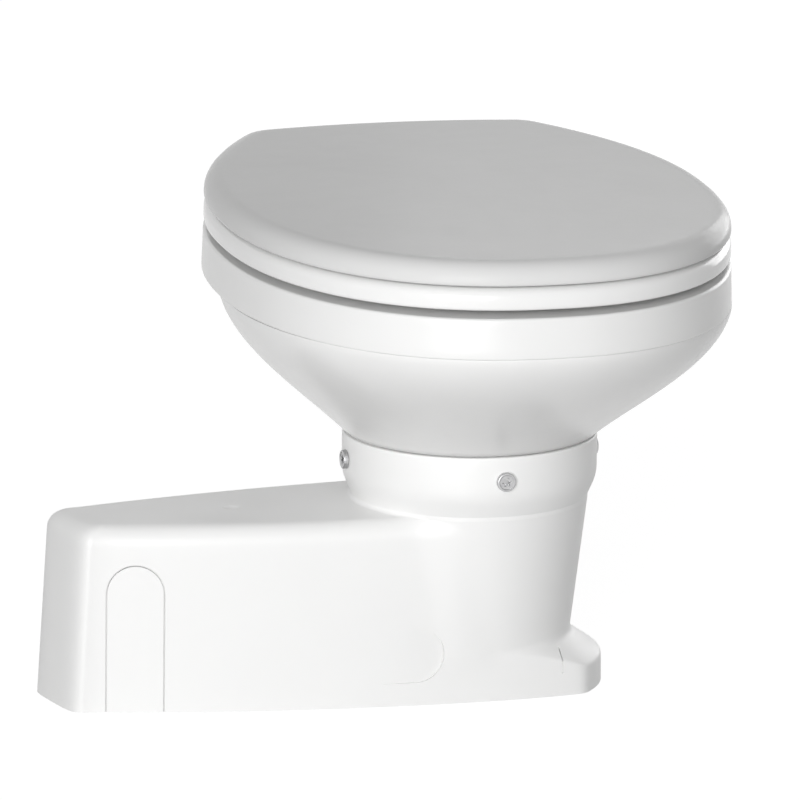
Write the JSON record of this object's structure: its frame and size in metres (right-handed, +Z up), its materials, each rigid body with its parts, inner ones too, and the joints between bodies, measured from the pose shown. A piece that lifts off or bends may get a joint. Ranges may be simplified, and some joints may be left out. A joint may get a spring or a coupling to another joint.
{
  "type": "electric marine toilet",
  "caption": "Compact electric toilet for a boat: white bowl with seat and lid, clamped in the collar of a low moulded base whose side box holds the macerator pump.",
  "frame": {"origin": "the pedestal's axis at the floor, on the mounting plate's underside", "axes": "+Z up; the bowl's front faces -Y and its hinges are at +Y; the base's box runs out to -X"},
  "size_m": [0.4892, 0.5061, 0.3501],
  "materials": {
    "white_plastic": "white satin gloss moulding",
    "white_enamel": "pressed wood with white gloss enamel",
    "white_ceramic": "white glaze",
    "white_nylon": "white satin",
    "stainless_steel": "plain",
    "black_rubber": "black matt",
    "white_rubber": "white matt",
    "dark_plastic": "black moulding",
    "motor_paint": "black enamel",
    "ferrite": "grey ground",
    "laminated_steel": "dark",
    "white_hose": "white smooth"
  },
  "bodies": {
    "base": {"base_shell": "white_plastic", "clamp_screw_front": "stainless_steel", "clamp_screw_right": "stainless_steel", "clamp_screw_back": "stainless_steel", "clamp_screw_left": "stainless_steel", "bowl": "white_ceramic", "rinse_elbow": "white_nylon", "rinse_nut": "white_nylon", "rinse_nozzle": "white_nylon", "rinse_hose": "white_hose", "hose_clamp_lower": "stainless_steel", "hose_clamp_upper": "stainless_steel", "hinge_post_left": "white_nylon", "hinge_post_right": "white_nylon", "hinge_pin_left": "stainless_steel", "hinge_pin_right": "stainless_steel", "hinge_bolt_left": "stainless_steel", "hinge_bolt_right": "stainless_steel", "hinge_washer_left": "black_rubber", "hinge_washer_right": "black_rubber", "wing_nut_left": "white_nylon", "wing_nut_right": "white_nylon", "mounting_plate": "dark_plastic", "sump": "dark_plastic", "bowl_seal": "black_rubber", "spigot_seal": "black_rubber", "macerator_housing": "dark_plastic", "shear_plate": "stainless_steel", "back_plate": "dark_plastic", "shaft_seal": "black_rubber", "front_bearing": "stainless_steel", "rear_bearing": "stainless_steel", "motor_can": "motor_paint", "magnet_ring": "ferrite", "motor_end_cap": "motor_paint", "discharge_pipe": "dark_plastic", "duckbill_valve": "black_rubber", "discharge_connector": "dark_plastic", "rinse_valve": "dark_plastic", "valve_coil": "motor_paint", "valve_spring": "stainless_steel"},
    "seat": {"seat": "white_enamel", "seat_hinge_left": "white_nylon", "seat_hinge_right": "white_nylon", "seat_buffer_front_left": "white_rubber", "seat_buffer_front_right": "white_rubber", "seat_buffer_back_left": "white_rubber", "seat_buffer_back_right": "white_rubber"},
    "lid": {"lid": "white_enamel", "lid_hinge_left": "white_nylon", "lid_hinge_right": "white_nylon", "lid_buffer_left": "white_rubber", "lid_buffer_right": "white_rubber"},
    "rotor": {"motor_shaft": "stainless_steel", "armature": "laminated_steel", "impeller": "white_nylon", "chopper_blade": "stainless_steel"},
    "plunger": {"valve_plunger": "stainless_steel"}
  },
  "joints": [
    {"name": "seat_hinge", "type": "hinge", "parent": "base", "child": "seat", "pos_m": [0.0106, 0.26379, 0.331], "axis": [-0.9992, 0.0401, 0], "range_deg": [0, 95]},
    {"name": "lid_hinge", "type": "hinge", "parent": "seat", "child": "lid", "pos_m": [0.0106, 0.26379, 0.331], "axis": [-0.9992, 0.0401, 0], "range_deg": [0, 95]},
    {"name": "motor_spin", "type": "hinge", "parent": "base", "child": "rotor", "pos_m": [-0.1149, 0, 0.072], "axis": [-1, 0, 0], "continuous": true},
    {"name": "plunger_lift", "type": "slide", "parent": "base", "child": "plunger", "axis": [0, 0, 1], "range_m": [0, 0.003], "stiffness_N_per_m": 100, "springref_m": -0.008, "deforming": ["valve_spring"]}
  ]
}
